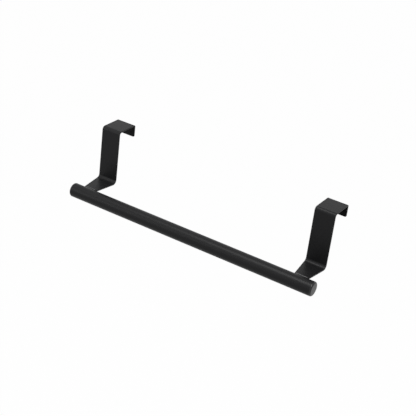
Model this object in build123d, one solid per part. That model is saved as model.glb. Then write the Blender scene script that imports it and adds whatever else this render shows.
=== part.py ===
from build123d import *
from math import asin, cos, pi, sin
import os

# Over-door towel rack: a round tube with plugged ends, welded to two hooks bent from flat steel strip.
# The frame stands on the door: X runs along the bar, y = 0 is the door's front, z = 0 its top edge,
# and x = 0 is halfway between the hooks. Lengths are in millimetres.

# Bar
tube_length = 230.0
tube_diameter = 12.0
tube_wall = 1.0

# End caps
cap_head = 1.4              # thickness outside the tube
cap_rim_radius = 1.3        # rounded rim of the head
cap_spigot_length = 8.0     # pressed into the tube
cap_spigot_wall = 1.2
cap_lead_in = 0.5           # chamfer that starts the spigot in the bore
cap_fit_gap = 0.02          # left all round the spigot in the bore

# Hook strip, with bend radii on the inside of each bend
strip_width = 18.0
strip_thickness = 1.2
strip_edge_chamfer = 0.2    # broken edges of the cut strip
hook_inset = 12.7           # from each end of the tube to the middle of its hook
door_gap = 20.5             # between strap and lip: a 20 mm door with room to slide on
lip_depth = 9.7             # reach of the lip below the door's top edge
lip_bend_radius = 0.4
lip_corner_radius = 1.2
top_bend_radius = 1.8
shelf_drop = 46.3           # from the door's top edge to the shelf's upper face
elbow_radius = 2.8
shelf_reach = 23.2          # from the strap's front face to the strip's end on the tube
taper_round = 20.0          # softens the start of the shelf's taper in plan
strip_end_width = 12.4      # where the tapered shelf meets the tube
axis_drop = 4.3             # from the shelf's upper face down to the tube's axis

# Weld beads, one above and one below the line where the strip's end meets the tube
weld_radius = 0.9
weld_offset = 1.0           # of each bead's middle from that line
weld_end_inset = 0.4        # from the strip's side edges
weld_end_chamfer = 0.4

# Places worked out from the sizes above
tube_radius = tube_diameter / 2
bore_radius = tube_radius - tube_wall
strap_front_y = -strip_thickness
strip_end_y = strap_front_y - shelf_reach
shelf_bottom_z = -shelf_drop - strip_thickness

# The lower edge of the strip's end rests on the tube
axis_z = -shelf_drop - axis_drop
contact_z = shelf_bottom_z + strip_edge_chamfer
contact_angle = asin((contact_z - axis_z) / tube_radius)
axis_y = strip_end_y - tube_radius * cos(contact_angle)


def along_bar(x, y, z, shape):
    """Turn a shape built along local Z to run along the bar, with its own origin at x, y, z."""
    return Location(Plane((x, y, z), x_dir=(0, 1, 0), z_dir=(1, 0, 0))) * shape


def make_tube():
    ring = Circle(tube_radius) - Circle(bore_radius)
    return along_bar(-tube_length / 2, axis_y, axis_z, extrude(ring, tube_length))


def make_right_cap():
    """Hollow plug turned about the tube's axis, with its head against the tube's end."""
    spigot_radius = bore_radius - cap_fit_gap
    hollow_radius = spigot_radius - cap_spigot_wall
    half_section = Polyline(
        (0, cap_head),
        (tube_radius, cap_head),
        (tube_radius, 0),
        (spigot_radius, 0),
        (spigot_radius, -cap_spigot_length),
        (hollow_radius, -cap_spigot_length),
        (hollow_radius, 0),
        (0, 0),
        close=True,
    )
    plug = revolve(make_face(Plane.XZ * half_section), Axis.Z)
    plug = fillet(plug.edges().group_by(Axis.Z)[-1], cap_rim_radius)
    tip_edge = plug.edges().group_by(Axis.Z)[0].sort_by(SortBy.LENGTH)[-1]
    plug = chamfer(tip_edge, cap_lead_in)
    return along_bar(tube_length / 2, axis_y, axis_z, plug)


def strip_side_view():
    """The bent strip seen along the bar, from the lip's lower edge to the shelf's end on the tube."""
    half = strip_thickness / 2
    inside_radii = [lip_bend_radius, top_bend_radius, elbow_radius]
    middle = FilletPolyline(
        (door_gap + half, -lip_depth),
        (door_gap + half, half),
        (-half, half),
        (-half, -shelf_drop - half),
        (strip_end_y, -shelf_drop - half),
        radius=[inside + half for inside in inside_radii],
    )
    return Plane.YZ * trace(middle, strip_thickness)


def strip_plan():
    """The strip seen from above: full width over the door, then a taper along the shelf to the tube."""
    taper_start_y = strap_front_y - elbow_radius
    right_side = [
        (strip_width / 2, door_gap + strip_thickness),
        (strip_width / 2, taper_start_y),
        (strip_end_width / 2, strip_end_y),
    ]
    left_side = [(-x, y) for x, y in reversed(right_side)]
    plan = make_face(Polyline(right_side + left_side, close=True))
    taper_corners = plan.vertices().group_by(Axis.Y)[1]
    return fillet(taper_corners, taper_round)


def end_corners(strip, z):
    """The two edges across the strip's thickness at the end that lies at this height."""
    at_height = strip.edges().filter_by_position(Axis.Z, z, z)
    return at_height.filter_by(Axis.Y)


def cut_edges(strip):
    """The sharp edges where the strip's broad faces meet its cut sides and ends."""

    def is_sharp(edge):
        first, second = [face for face in strip.faces() if edge in face.edges()]
        return first.normal_at(edge @ 0.5).get_angle(second.normal_at(edge @ 0.5)) > 45

    return strip.edges().filter_by(is_sharp)


def make_hook():
    """Strip bent into lip, top plate, strap and shelf, centred on x = 0."""
    bent = extrude(strip_side_view(), strip_width / 2, both=True)
    plan = strip_plan()
    strip = bent & (extrude(plan, strip_thickness) + extrude(plan, shelf_bottom_z))
    strip = fillet(end_corners(strip, -lip_depth), lip_corner_radius)
    return chamfer(cut_edges(strip), strip_edge_chamfer)


def make_weld(tube, hook):
    """Beads that fill the mouths above and below the strip's end, shaped by tube and strip."""
    bead_length = strip_end_width - 2 * weld_end_inset
    rod = Cylinder(weld_radius, bead_length)
    rod = chamfer(rod.edges().filter_by(GeomType.CIRCLE), weld_end_chamfer)
    # Up along the strip's end face and the tube, and down along the tube under the shelf
    upper_lean = contact_angle / 2
    lower_lean = (pi / 2 - contact_angle) / 2
    middles = [
        (strip_end_y - weld_offset * sin(upper_lean), contact_z + weld_offset * cos(upper_lean)),
        (strip_end_y + weld_offset * cos(lower_lean), contact_z - weld_offset * sin(lower_lean)),
    ]
    beads = [(along_bar(0, y, z, rod) - tube - hook).solid() for y, z in middles]
    return Compound(children=beads)


tube = make_tube()
hook = make_hook()
right_cap = make_right_cap()
weld = make_weld(tube, hook)
right_hook_place = Pos(tube_length / 2 - hook_inset, 0, 0)
left_hook_place = Pos(hook_inset - tube_length / 2, 0, 0)

pieces = {
    "bar_tube": tube,
    "left_end_cap": mirror(right_cap, about=Plane.YZ),
    "right_end_cap": right_cap,
    "left_hook": left_hook_place * hook,
    "right_hook": right_hook_place * hook,
    "left_weld": left_hook_place * weld,
    "right_weld": right_hook_place * weld,
}

os.makedirs("parts", exist_ok=True)
for name, piece in pieces.items():
    export_step(piece, f"parts/{name}.step")
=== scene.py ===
import bmesh
import bpy
import math
from mathutils import Matrix, Vector


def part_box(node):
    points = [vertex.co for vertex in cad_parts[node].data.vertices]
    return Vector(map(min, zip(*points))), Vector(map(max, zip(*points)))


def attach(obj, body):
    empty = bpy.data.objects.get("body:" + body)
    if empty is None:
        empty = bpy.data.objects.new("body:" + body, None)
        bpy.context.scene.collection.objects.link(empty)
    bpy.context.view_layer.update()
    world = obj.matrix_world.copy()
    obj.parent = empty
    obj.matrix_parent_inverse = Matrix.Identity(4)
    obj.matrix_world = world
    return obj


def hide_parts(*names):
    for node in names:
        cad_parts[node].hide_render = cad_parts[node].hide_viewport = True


# Over-door towel rack in satin black: a round bar on two hooks bent from flat strip.
# The frame is the door's: x along the bar, y through the door, z up. Sizes are in mm, meshes in metres.
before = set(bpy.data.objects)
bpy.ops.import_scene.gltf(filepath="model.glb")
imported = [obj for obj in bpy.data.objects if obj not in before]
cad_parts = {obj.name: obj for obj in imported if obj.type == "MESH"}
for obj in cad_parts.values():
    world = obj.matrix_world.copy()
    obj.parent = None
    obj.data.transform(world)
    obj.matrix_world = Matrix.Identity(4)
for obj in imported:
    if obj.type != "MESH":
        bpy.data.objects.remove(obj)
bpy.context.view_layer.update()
mm = 0.001
print("frame loaded:", ", ".join(sorted(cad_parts)))


# Small helpers

def fromHex(code):
    # sRGB hex to the linear colour that Blender's sockets take
    channels = [int(code[i:i + 2], 16) / 255 for i in (1, 3, 5)]
    linear = [c / 12.92 if c <= 0.04045 else ((c + 0.055) / 1.055) ** 2.4 for c in channels]
    return (*linear, 1.0)


def addNode(tree, kind, settings=None, links=None):
    # settings are sockets or properties by name, links are sockets by name or number
    node = tree.nodes.new(kind)
    for name, value in (settings or {}).items():
        if name in node.inputs:
            node.inputs[name].default_value = value
        else:
            setattr(node, name, value)
    for socket, source in (links or {}).items():
        tree.links.new(source, node.inputs[socket])
    return node


def newMaterial(name):
    material = bpy.data.materials.new(name)
    material.use_nodes = True
    material.node_tree.nodes.clear()
    return material, material.node_tree


def boxMm(node):
    low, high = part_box(node)
    return low / mm, high / mm


def finishPiece(bm, name, material, node):
    # makes the piece that stands for a node, shaded smooth with flat faces kept flat
    bmesh.ops.recalc_face_normals(bm, faces=bm.faces)
    mesh = bpy.data.meshes.new(name)
    bm.to_mesh(mesh)
    bm.free()
    mesh.shade_smooth()
    mesh.materials.append(material)
    piece = bpy.data.objects.new(name, mesh)
    bpy.context.scene.collection.objects.link(piece)
    flat = piece.modifiers.new("flatFacesStayFlat", "WEIGHTED_NORMAL")
    flat.keep_sharp = True
    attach(piece, "root")
    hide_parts(node)
    print("made", name, "with", len(mesh.polygons), "faces")


def joinLoops(bm, loops, closeEnds):
    # quads between each loop of points and the next, with the two ends filled if asked
    rings = [[bm.verts.new(Vector(point) * mm) for point in loop] for loop in loops]
    for a, b in zip(rings, rings[1:]):
        count = max(len(a), len(b))
        for k in range(count):
            n = k + 1
            corners = [a[k % len(a)], a[n % len(a)], b[n % len(b)], b[k % len(b)]]
            corners = list(dict.fromkeys(corners))      # a ring of one point gives triangles
            if len(corners) > 2:
                bm.faces.new(corners)
    if closeEnds:
        bm.faces.new(rings[0])
        bm.faces.new(rings[-1])


# Materials

powderCoat = {
    "colours": ("#121213", "#1a1a1b"),      # pigment and matting filler, in fine specks
    "roughness": (0.36, 0.44),
    "specular": 0.13,           # the matting filler breaks up the skin, so it mirrors less than plain paint
    "peelSpacing": 1.6,         # mm between the swells of the orange peel
    "peelHeight": 0.018,        # mm
    "grainSize": 0.35,          # mm, the real grain is finer and would not show
    "grainHeight": 0.03,        # mm
    "smudgeSize": 14.0,         # mm, slow changes of sheen over the surface
}


def satinPowderCoat(name, coat):
    # polyester powder coat baked on steel: near black, a soft wide sheen, a fine grain in the highlights
    material, tree = newMaterial(name)
    place = addNode(tree, "ShaderNodeTexCoord").outputs["Object"]
    peel = addNode(tree, "ShaderNodeTexNoise",
                   {"Scale": 1 / (coat["peelSpacing"] * mm), "Detail": 1.0}, {"Vector": place})
    grain = addNode(tree, "ShaderNodeTexNoise",
                    {"Scale": 1 / (coat["grainSize"] * mm), "Detail": 2.0}, {"Vector": place})
    smudge = addNode(tree, "ShaderNodeTexNoise",
                     {"Scale": 1 / (coat["smudgeSize"] * mm), "Detail": 3.0}, {"Vector": place})
    sheen = addNode(tree, "ShaderNodeMapRange",
                    {"To Min": coat["roughness"][0], "To Max": coat["roughness"][1]},
                    {"Value": smudge.outputs["Fac"]})
    specks = addNode(tree, "ShaderNodeMixRGB",
                     {"Color1": fromHex(coat["colours"][0]), "Color2": fromHex(coat["colours"][1])},
                     {"Fac": grain.outputs["Fac"]})
    swells = addNode(tree, "ShaderNodeBump", {"Distance": coat["peelHeight"] * mm},
                     {"Height": peel.outputs["Fac"]})
    skin = addNode(tree, "ShaderNodeBump", {"Distance": coat["grainHeight"] * mm},
                   {"Height": grain.outputs["Fac"], "Normal": swells.outputs["Normal"]})
    shader = addNode(tree, "ShaderNodeBsdfPrincipled", {"Specular IOR Level": coat["specular"]},
                     {"Base Color": specks.outputs["Color"], "Roughness": sheen.outputs["Result"],
                      "Normal": skin.outputs["Normal"]})
    addNode(tree, "ShaderNodeOutputMaterial", {}, {"Surface": shader.outputs["BSDF"]})
    return material


# over a bead the powder melts into a thicker, smoother skin that shines more
weldCoat = dict(powderCoat, roughness=(0.28, 0.36), specular=0.4, peelSpacing=0.9, smudgeSize=5.0)

plugPlastic = {
    "colours": ("#0f0f10", "#151516"),      # cloudy where the melt flowed together
    "roughness": (0.28, 0.36),
    "ior": 1.49,
    "specular": 0.37,
    "sparkSize": 0.3,           # mm, spark-eroded mould texture, coarser than the real one so that it shows
    "sparkHeight": 0.008,       # mm
    "flowSize": 6.0,            # mm, cloudiness left by the moulding
}


def mouldedPlug(name, plug):
    # injection moulded polypropylene: black, smoother than the coat, so flat faces go grey at low angles
    material, tree = newMaterial(name)
    place = addNode(tree, "ShaderNodeTexCoord").outputs["Object"]
    spark = addNode(tree, "ShaderNodeTexNoise",
                    {"Scale": 1 / (plug["sparkSize"] * mm), "Detail": 2.0}, {"Vector": place})
    flow = addNode(tree, "ShaderNodeTexNoise",
                   {"Scale": 1 / (plug["flowSize"] * mm), "Detail": 2.0}, {"Vector": place})
    sheen = addNode(tree, "ShaderNodeMapRange",
                    {"To Min": plug["roughness"][0], "To Max": plug["roughness"][1]},
                    {"Value": flow.outputs["Fac"]})
    clouds = addNode(tree, "ShaderNodeMixRGB",
                     {"Color1": fromHex(plug["colours"][0]), "Color2": fromHex(plug["colours"][1])},
                     {"Fac": flow.outputs["Fac"]})
    skin = addNode(tree, "ShaderNodeBump", {"Distance": plug["sparkHeight"] * mm},
                   {"Height": spark.outputs["Fac"]})
    shader = addNode(tree, "ShaderNodeBsdfPrincipled",
                     {"IOR": plug["ior"], "Specular IOR Level": plug["specular"]},
                     {"Base Color": clouds.outputs["Color"], "Roughness": sheen.outputs["Result"],
                      "Normal": skin.outputs["Normal"]})
    addNode(tree, "ShaderNodeOutputMaterial", {}, {"Surface": shader.outputs["BSDF"]})
    return material


coatedSteel = satinPowderCoat("satinBlackPowderCoat", powderCoat)
coatedWeld = satinPowderCoat("powderCoatOverWeld", weldCoat)
blackPlug = mouldedPlug("mouldedBlackPolypropylene", plugPlastic)
print("materials made")


# Bar tube and end plugs, both turned about the bar's axis

barTube = {
    "diameter": 12.0,
    "wall": 1.0,
    "endEase": 0.12,            # radius that takes the edge off the cut ends
    "segments": 144,
    "mergeWithin": 0.0001,      # joins the last ring to the first, which it lies on
}
tubeLow, tubeHigh = boxMm("bar_tube")
tubeRadius = barTube["diameter"] / 2
axisY = (tubeLow.y + tubeHigh.y) / 2
axisZ = (tubeLow.z + tubeHigh.z) / 2


def roundCorner(corner, before, after, radius, steps=6):
    # points of the arc that eases one corner of a profile, given as 2D points
    corner, before, after = Vector(corner), Vector(before), Vector(after)
    into = (corner - before).normalized()
    out = (after - corner).normalized()
    turn = math.acos(max(-1, min(1, into.dot(out))))
    reach = radius * math.tan(turn / 2)
    start = corner - into * reach
    end = corner + out * reach
    centre = corner + (out - into).normalized() * (radius / math.cos(turn / 2))
    arc = []
    for k in range(steps + 1):
        spoke = (start - centre).slerp(end - centre, k / steps)
        arc.append(tuple(centre + spoke * radius))
    return arc


def turnAboutBar(profile):
    # each (x, radius) point of the profile becomes a ring about the bar's axis
    loops = []
    for x, radius in profile:
        count = barTube["segments"] if radius > 0 else 1
        angles = [2 * math.pi * k / count for k in range(count)]
        loops.append([(x, axisY + radius * math.cos(a), axisZ + radius * math.sin(a)) for a in angles])
    return loops


def easedProfile(corners):
    # corners are (x, radius, ease); an ease of 0 keeps the corner sharp
    points = []
    for i, (x, radius, ease) in enumerate(corners):
        if ease:
            before = corners[i - 1][:2]
            after = corners[(i + 1) % len(corners)][:2]
            points += roundCorner((x, radius), before, after, ease)
        else:
            points.append((x, radius))
    return points


def makeTube():
    bore = tubeRadius - barTube["wall"]
    ease = barTube["endEase"]
    profile = easedProfile([
        (tubeLow.x, tubeRadius, ease),
        (tubeHigh.x, tubeRadius, ease),
        (tubeHigh.x, bore, ease),
        (tubeLow.x, bore, ease),
    ])
    bm = bmesh.new()
    joinLoops(bm, turnAboutBar(profile + profile[:1]), False)
    bmesh.ops.remove_doubles(bm, verts=bm.verts, dist=barTube["mergeWithin"] * mm)
    finishPiece(bm, "barTube", coatedSteel, "bar_tube")


endPlug = {
    "rim": 1.3,                 # radius round the head
    "seamEase": 0.08,           # radius where the head meets the tube's end
    "spigotWall": 1.2,
    "leadIn": 0.5,              # chamfer that starts the spigot in the bore
    "fitGap": 0.02,             # all round the spigot
}


def makePlug(node, name, tubeEnd, outward):
    # hollow plug: rounded head outside the tube, spigot inside its bore
    low, high = boxMm(node)
    face = high.x if outward > 0 else low.x
    tip = low.x if outward > 0 else high.x
    spigot = tubeRadius - barTube["wall"] - endPlug["fitGap"]
    hollow = spigot - endPlug["spigotWall"]
    profile = easedProfile([
        (face, 0, 0),
        (face, tubeRadius, endPlug["rim"]),
        (tubeEnd, tubeRadius, endPlug["seamEase"]),
        (tubeEnd, spigot, 0),
        (tip + outward * endPlug["leadIn"], spigot, 0),
        (tip, spigot - endPlug["leadIn"], 0),
        (tip, hollow, 0),
        (tubeEnd, hollow, 0),
        (tubeEnd, 0, 0),
    ])
    bm = bmesh.new()
    joinLoops(bm, turnAboutBar(profile), False)
    finishPiece(bm, name, blackPlug, node)


makeTube()
makePlug("left_end_cap", "leftEndPlug", tubeLow.x, -1)
makePlug("right_end_cap", "rightEndPlug", tubeHigh.x, 1)


# Hooks: flat strip bent into lip, top plate, strap and shelf, whose narrowed end lies against the tube

hookStrip = {
    "lipDepth": 9.7,            # below the door's top edge
    "lipBend": 0.4,             # bend radii are on the inside
    "topBend": 1.8,
    "elbow": 2.8,
    "endWidth": 12.4,           # where the tapered shelf meets the tube
    "lipCorner": 1.2,
    "edgeRound": 0.3,           # coated edges of the strip
    "leastRound": 0.02,         # what is left of that radius on the end faces
    "bendSteps": 14,
    "cornerSteps": 8,
    "edgeSteps": 4,
}
hookLow, hookHigh = boxMm("left_hook")
stripWidth = hookHigh.x - hookLow.x
stripThickness = hookHigh.z             # the top plate lies on z = 0
strapFront = -stripThickness            # and the strap's back on y = 0
stripEnd = hookLow.y
shelfBottom = hookLow.z
shelfTop = shelfBottom + stripThickness
taperStart = strapFront - hookStrip["elbow"]


def bendPath(corners, radii, steps):
    # (place, direction) along straight runs joined by tangent arcs, as 2D points of y and z
    corners = [Vector(c) for c in corners]
    path = []
    for before, corner, after, radius in zip(corners, corners[1:], corners[2:], radii):
        into = (corner - before).normalized()
        out = (after - corner).normalized()
        arc = roundCorner(corner, before, after, radius, steps)
        for k, place in enumerate(arc):
            path.append((Vector(place), into.slerp(out, k / steps)))
    return path


def halfWidth(y):
    # full width over the door, then an even taper along the shelf to the tube
    share = max(0, min(1, (taperStart - y) / (taperStart - stripEnd)))
    return (stripWidth + share * (hookStrip["endWidth"] - stripWidth)) / 2


def roundedEnd(radius, fromEnd):
    # how far a corner of this radius has drawn the outline in, this far from the strip's end
    if fromEnd >= radius:
        return 0
    return radius - math.sqrt(radius ** 2 - (radius - fromEnd) ** 2)


def stripSection(halfAcross, halfThick, easeRadius):
    # rounded rectangle: (across the strip, through its thickness)
    steps = hookStrip["edgeSteps"]
    loop = []
    for quarter in range(4):
        sideX = 1 if quarter in (0, 3) else -1
        sideN = 1 if quarter in (0, 1) else -1
        for k in range(steps + 1):
            angle = (quarter + k / steps) * math.pi / 2
            loop.append((sideX * (halfAcross - easeRadius) + easeRadius * math.cos(angle),
                         sideN * (halfThick - easeRadius) + easeRadius * math.sin(angle)))
    return loop


def stripStations():
    # (place, direction, distance from the end, corner radius at that end) along the strip's middle
    half = stripThickness / 2
    corners = [
        (hookHigh.y - half, -hookStrip["lipDepth"]),
        (hookHigh.y - half, half),
        (-half, half),
        (-half, shelfTop - half),
        (stripEnd, shelfTop - half),
    ]
    inside = [hookStrip[bend] for bend in ("lipBend", "topBend", "elbow")]
    path = bendPath(corners, [radius + half for radius in inside], hookStrip["bendSteps"])
    # stations crowd together close to the two ends, where the outline draws in
    steps = hookStrip["cornerSteps"]
    crowding = [1 - math.cos(k / steps * math.pi / 2) for k in range(steps + 1)]
    lipEnd, shelfEnd = Vector(corners[0]), Vector(corners[-1])
    up, forward = Vector((0, 1)), Vector((-1, 0))
    stations = []
    for share in crowding:
        fromEnd = share * hookStrip["lipCorner"]
        stations.append((lipEnd + up * fromEnd, up, fromEnd, hookStrip["lipCorner"]))
    for place, direction in path:
        stations.append((place, direction, math.inf, 0))
    for share in reversed(crowding):
        fromEnd = share * hookStrip["edgeRound"]
        stations.append((shelfEnd - forward * fromEnd, forward, fromEnd, 0))
    return stations


def makeHook(node, name):
    low, high = boxMm(node)
    middleX = (low.x + high.x) / 2
    edge = hookStrip["edgeRound"]
    loops = []
    for place, direction, fromEnd, cornerRadius in stripStations():
        inset = roundedEnd(edge, fromEnd)
        halfAcross = halfWidth(place.x) - roundedEnd(cornerRadius, fromEnd) - inset
        halfThick = stripThickness / 2 - inset
        section = stripSection(halfAcross, halfThick, max(edge - inset, hookStrip["leastRound"]))
        normal = Vector((-direction.y, direction.x))
        loops.append([(middleX + u, place.x + normal.x * v, place.y + normal.y * v) for u, v in section])
    bm = bmesh.new()
    joinLoops(bm, loops, True)
    finishPiece(bm, name, coatedSteel, node)


makeHook("left_hook", "leftHook")
makeHook("right_hook", "rightHook")


# Weld beads in the mouths above and below each strip's end on the tube

weldBead = {
    "radius": 0.9,
    "offset": 1.0,              # of each bead's middle from the line where strip and tube meet
    "edgeChamfer": 0.2,         # of the strip's lower edge, which rests on the tube
    "ripplePitch": 0.95,        # mm between the ripples the welder leaves
    "rippleDepth": 0.03,
    "rippleBow": 0.5,           # each ripple bows along the run
    "endRound": 1.2,
    "endShare": 0.15,           # of the bead's full size, left at its very ends
    "contactGap": 0.01,         # keeps the bead's skin off the tube and the strip
    "leastReach": 0.01,         # of the skin from the bead's middle
    "stations": 110,
    "segments": 72,
}
tubeCentre = Vector((axisY, axisZ))
contact = Vector((stripEnd, shelfBottom + weldBead["edgeChamfer"]))
contactAngle = math.asin((contact.y - axisZ) / tubeRadius)
tooFlat = 1e-9                          # a ray this close to a face's own direction never meets it


def reachToTube(start, direction):
    # how far a ray in the bead's section runs before it meets the tube
    out = start - tubeCentre
    along = out.dot(direction)
    inside = along ** 2 - out.length_squared + tubeRadius ** 2
    if along >= 0 or inside <= 0:
        return math.inf
    return -along - math.sqrt(inside)


def reachToStrip(start, direction):
    # the same for the strip, which fills the section behind its end, between its two broad faces
    enter, leave = 0, math.inf
    for place, way, low, high in ((start.x, direction.x, stripEnd, math.inf),
                                  (start.y, direction.y, shelfBottom, shelfTop)):
        if abs(way) < tooFlat:
            if not low <= place <= high:
                return math.inf
            continue
        near, far = sorted(((low - place) / way, (high - place) / way))
        enter, leave = max(enter, near), min(leave, far)
    return enter if enter < leave else math.inf


def beadLoop(x, lowX, highX, away):
    # the bead's skin at this x: swollen between its ends, rippled, and cut back by tube and strip
    drawnIn = roundedEnd(weldBead["endRound"], min(x - lowX, highX - x))
    swell = max(1 - drawnIn / weldBead["endRound"], weldBead["endShare"])
    centre = contact + away * weldBead["offset"] * swell
    loop = []
    for k in range(weldBead["segments"]):
        angle = 2 * math.pi * k / weldBead["segments"]
        direction = Vector((math.cos(angle), math.sin(angle)))
        bow = weldBead["rippleBow"] * direction.dot(away)
        ripple = abs(math.sin(math.pi * (x - lowX + bow) / weldBead["ripplePitch"]))
        crown = (weldBead["radius"] - weldBead["rippleDepth"] * (1 - ripple)) * swell
        free = min(reachToTube(centre, direction), reachToStrip(centre, direction))
        reach = max(min(crown, free - weldBead["contactGap"]), weldBead["leastReach"])
        point = centre + direction * reach
        loop.append((x, point.x, point.y))
    return loop


def makeWeld(node, name):
    low, high = boxMm(node)
    count = weldBead["stations"]
    places = [low.x + (high.x - low.x) * i / count for i in range(count + 1)]
    upperLean = math.pi / 2 + contactAngle / 2
    lowerLean = -(math.pi / 2 - contactAngle) / 2
    bm = bmesh.new()
    for lean in (upperLean, lowerLean):
        away = Vector((math.cos(lean), math.sin(lean)))
        joinLoops(bm, [beadLoop(x, low.x, high.x, away) for x in places], True)
    finishPiece(bm, name, coatedWeld, node)


makeWeld("left_weld", "leftWeld")
makeWeld("right_weld", "rightWeld")


# Floor, world and lamps

studio = {
    "floorDrop": 820,           # mm, the height of a kitchen cupboard door's top edge, where the rack hangs
    "floorSize": 12000,
    "floorColour": "#f4f4f4",
    "whiteShare": 0.98,         # the rest of the floor's look is lit, so it keeps the shadow
    "worldColour": "#ffffff",
    "worldLight": 0.5,          # strength for light that bounces, the eye sees 1
}
softboxes = {                   # each faces the bar, and its glow is the brightness of its panel
    "overheadSoftbox": {"place": (-75, -320, 1000), "size": (750, 420), "glow": 10.0},
    "leftFill": {"place": (-700, -760, 360), "size": (450, 450), "glow": 3.0},
}


def whiteForEye(tree):
    # 1 for what the eye sees straight, in gloss or through glass, 0 for light that bounces
    path = addNode(tree, "ShaderNodeLightPath")
    seen = addNode(tree, "ShaderNodeMath", {"operation": "MAXIMUM"},
                   {0: path.outputs["Is Camera Ray"], 1: path.outputs["Is Glossy Ray"]})
    every = addNode(tree, "ShaderNodeMath", {"operation": "MAXIMUM"},
                    {0: seen.outputs["Value"], 1: path.outputs["Is Transmission Ray"]})
    return every.outputs["Value"]


def paleFloor():
    # painted white studio floor, shown near white with its shadow
    material, tree = newMaterial("paleStudioFloor")
    share = addNode(tree, "ShaderNodeMapRange", {"To Max": studio["whiteShare"]},
                    {"Value": whiteForEye(tree)})
    lit = addNode(tree, "ShaderNodeBsdfDiffuse", {"Color": fromHex(studio["floorColour"])})
    white = addNode(tree, "ShaderNodeEmission", {"Strength": 1.0})
    mix = addNode(tree, "ShaderNodeMixShader", {},
                  {0: share.outputs["Result"], 1: lit.outputs["BSDF"], 2: white.outputs["Emission"]})
    addNode(tree, "ShaderNodeOutputMaterial", {}, {"Surface": mix.outputs["Shader"]})
    return material


def makeFloor():
    half = studio["floorSize"] / 2 * mm
    mesh = bpy.data.meshes.new("studioFloor")
    corners = [(-half, -half, 0), (half, -half, 0), (half, half, 0), (-half, half, 0)]
    mesh.from_pydata(corners, [], [(0, 1, 2, 3)])
    mesh.materials.append(paleFloor())
    floor = bpy.data.objects.new("studioFloor", mesh)
    floor.location.z = -studio["floorDrop"] * mm
    bpy.context.scene.collection.objects.link(floor)


def makeWorld():
    world = bpy.data.worlds.new("whiteStudio")
    world.use_nodes = True
    tree = world.node_tree
    tree.nodes.clear()
    level = addNode(tree, "ShaderNodeMapRange", {"To Min": studio["worldLight"], "To Max": 1.0},
                    {"Value": whiteForEye(tree)})
    sky = addNode(tree, "ShaderNodeBackground", {"Color": fromHex(studio["worldColour"])},
                  {"Strength": level.outputs["Result"]})
    addNode(tree, "ShaderNodeOutputWorld", {}, {"Surface": sky.outputs["Background"]})
    bpy.context.scene.world = world


def makeLamps():
    barMiddle = Vector((0, axisY, axisZ)) * mm
    for name, box in softboxes.items():
        lamp = bpy.data.lights.new(name, "AREA")
        lamp.shape = "RECTANGLE"
        lamp.size = box["size"][0] * mm
        lamp.size_y = box["size"][1] * mm
        lamp.energy = box["glow"] * math.pi * lamp.size * lamp.size_y
        softbox = bpy.data.objects.new(name, lamp)
        softbox.location = Vector(box["place"]) * mm
        softbox.rotation_euler = (softbox.location - barMiddle).to_track_quat("Z", "Y").to_euler()
        bpy.context.scene.collection.objects.link(softbox)


makeFloor()
makeWorld()
makeLamps()
print("studio made")


# Camera

view = {
    "azimuth": 29.225,          # degrees round from the front
    "elevation": 27.406,
    "roll": 7.304,
    "place": (383.1, -685.4, 371.3),
    "lens": 93.38,              # mm
    "sensorWidth": 36,          # mm
    "nearest": 10,              # mm, nothing closer is drawn
}


def makeCamera():
    turned = (Matrix.Rotation(math.radians(view["azimuth"]), 4, "Z")
              @ Matrix.Rotation(math.radians(90 - view["elevation"]), 4, "X")
              @ Matrix.Rotation(math.radians(view["roll"]), 4, "Z"))
    data = bpy.data.cameras.new("photoView")
    data.sensor_fit = "HORIZONTAL"
    data.sensor_width = view["sensorWidth"]
    data.lens = view["lens"]
    data.clip_start = view["nearest"] * mm
    camera = bpy.data.objects.new("photoView", data)
    camera.matrix_world = Matrix.Translation(Vector(view["place"]) * mm) @ turned
    bpy.context.scene.collection.objects.link(camera)
    bpy.context.scene.camera = camera
    print("camera placed")


makeCamera()
bpy.context.scene.view_settings.view_transform = "Standard"
